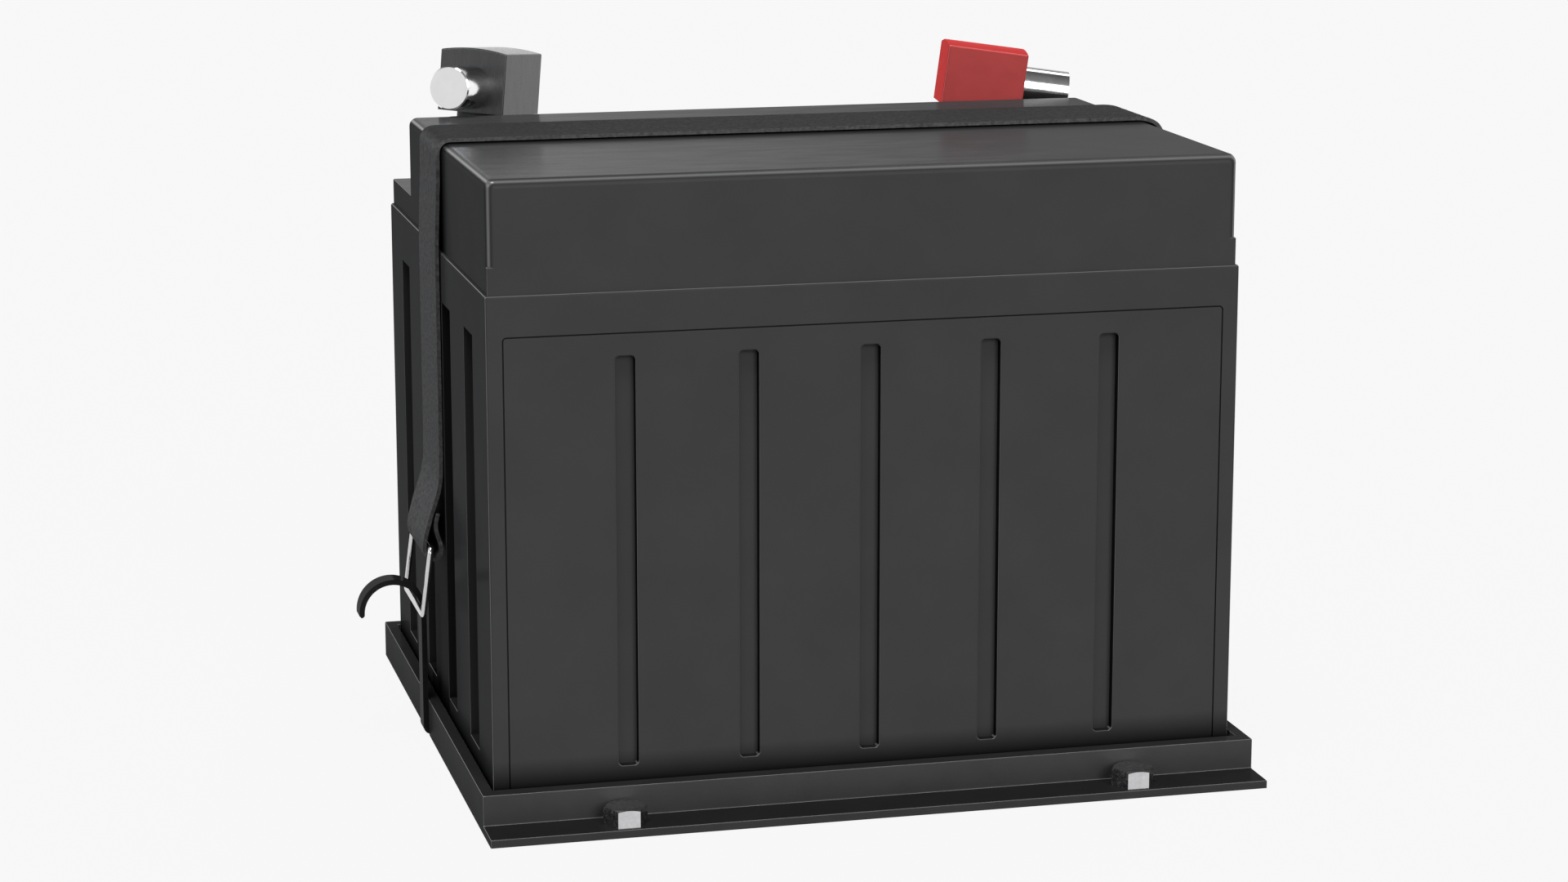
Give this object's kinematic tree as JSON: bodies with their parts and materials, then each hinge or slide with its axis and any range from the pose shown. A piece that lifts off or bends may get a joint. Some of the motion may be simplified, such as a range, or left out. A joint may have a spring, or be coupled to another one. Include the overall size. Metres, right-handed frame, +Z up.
{
  "type": "strapped battery in tray",
  "caption": "Sealed battery in a low tray with a front flange, tied down by a webbing strap with wire bails and steel hooks; two swivelling cable terminals at the back.",
  "frame": {"origin": "middle of the case in plan, on the plane of the tray underside", "axes": "+X along the tray front flange towards the positive terminal, +Y from the flange towards the terminals, +Z up"},
  "size_m": [0.3186, 0.2466, 0.2401],
  "materials": {
    "tray": "moulded black plastic, satin",
    "tray_nuts": "bright zinc-plated steel",
    "case": "moulded black plastic, soft gloss",
    "positive_plates": "pasted lead plate, dull brown",
    "negative_plates": "pasted lead plate, dull grey",
    "separators": "white glass mat",
    "positive_bars": "cast lead",
    "negative_bars": "cast lead",
    "cell_links": "cast lead",
    "inner_cover": "moulded black plastic",
    "post_seals": "black rubber",
    "valve_caps": "black rubber",
    "lid": "moulded black plastic, soft gloss",
    "flame_arrestor": "sintered white plastic",
    "post_bushes": "cast lead",
    "negative_post": "cast lead",
    "positive_post": "cast lead",
    "negative_cover": "moulded black plastic, gloss",
    "negative_core": "machined brass",
    "negative_stub": "bright plated brass",
    "positive_cover": "moulded red plastic, gloss",
    "positive_core": "machined brass",
    "positive_stub": "bright plated brass",
    "strap": "woven dark grey webbing",
    "left_bail": "bright plated steel wire",
    "right_bail": "bright plated steel wire",
    "left_hook": "black coated steel strip",
    "right_hook": "black coated steel strip"
  },
  "bodies": {
    "base": {"tray": "tray", "tray_nuts": "tray_nuts", "case": "case", "positive_plates": "positive_plates", "negative_plates": "negative_plates", "separators": "separators", "positive_bars": "positive_bars", "negative_bars": "negative_bars", "cell_links": "cell_links", "inner_cover": "inner_cover", "post_seals": "post_seals", "valve_caps": "valve_caps", "lid": "lid", "flame_arrestor": "flame_arrestor", "post_bushes": "post_bushes", "negative_post": "negative_post", "positive_post": "positive_post", "strap": "strap"},
    "negative_head": {"negative_cover": "negative_cover", "negative_core": "negative_core", "negative_stub": "negative_stub"},
    "positive_head": {"positive_cover": "positive_cover", "positive_core": "positive_core", "positive_stub": "positive_stub"},
    "left_bail": {"left_bail": "left_bail"},
    "right_bail": {"right_bail": "right_bail"},
    "left_hook": {"left_hook": "left_hook"},
    "right_hook": {"right_hook": "right_hook"}
  },
  "joints": [
    {"name": "negative_head_turn", "type": "hinge", "parent": "base", "child": "negative_head", "pos_m": [-0.0958, 0.085, 0.215], "axis": [0.091, 0.048, 0.9947], "range_deg": [-240, 50]},
    {"name": "positive_head_turn", "type": "hinge", "parent": "base", "child": "positive_head", "pos_m": [0.0948, 0.085, 0.2116], "axis": [0.139, 0.007, 0.9903], "range_deg": [-12, 220]},
    {"name": "left_bail_swing", "type": "hinge", "parent": "base", "child": "left_bail", "pos_m": [-0.1356, 0.0046, 0.0732], "axis": [0, 1, 0], "range_deg": [0, 18]},
    {"name": "right_bail_swing", "type": "hinge", "parent": "base", "child": "right_bail", "pos_m": [0.1356, 0.0046, 0.0732], "axis": [0, -1, 0], "range_deg": [0, 18]},
    {"name": "left_hook_rock", "type": "hinge", "parent": "base", "child": "left_hook", "pos_m": [-0.13415, 0.0046, 0.0033], "axis": [0, -1, 0], "range_deg": [0, 6]},
    {"name": "right_hook_rock", "type": "hinge", "parent": "base", "child": "right_hook", "pos_m": [0.13415, 0.0046, 0.0033], "axis": [0, 1, 0], "range_deg": [0, 6]}
  ],
  "couplings": [
    {"joint": "left_hook_rock", "follows": "left_bail_swing", "ratio": 0.33333},
    {"joint": "right_hook_rock", "follows": "right_bail_swing", "ratio": 0.33333}
  ]
}
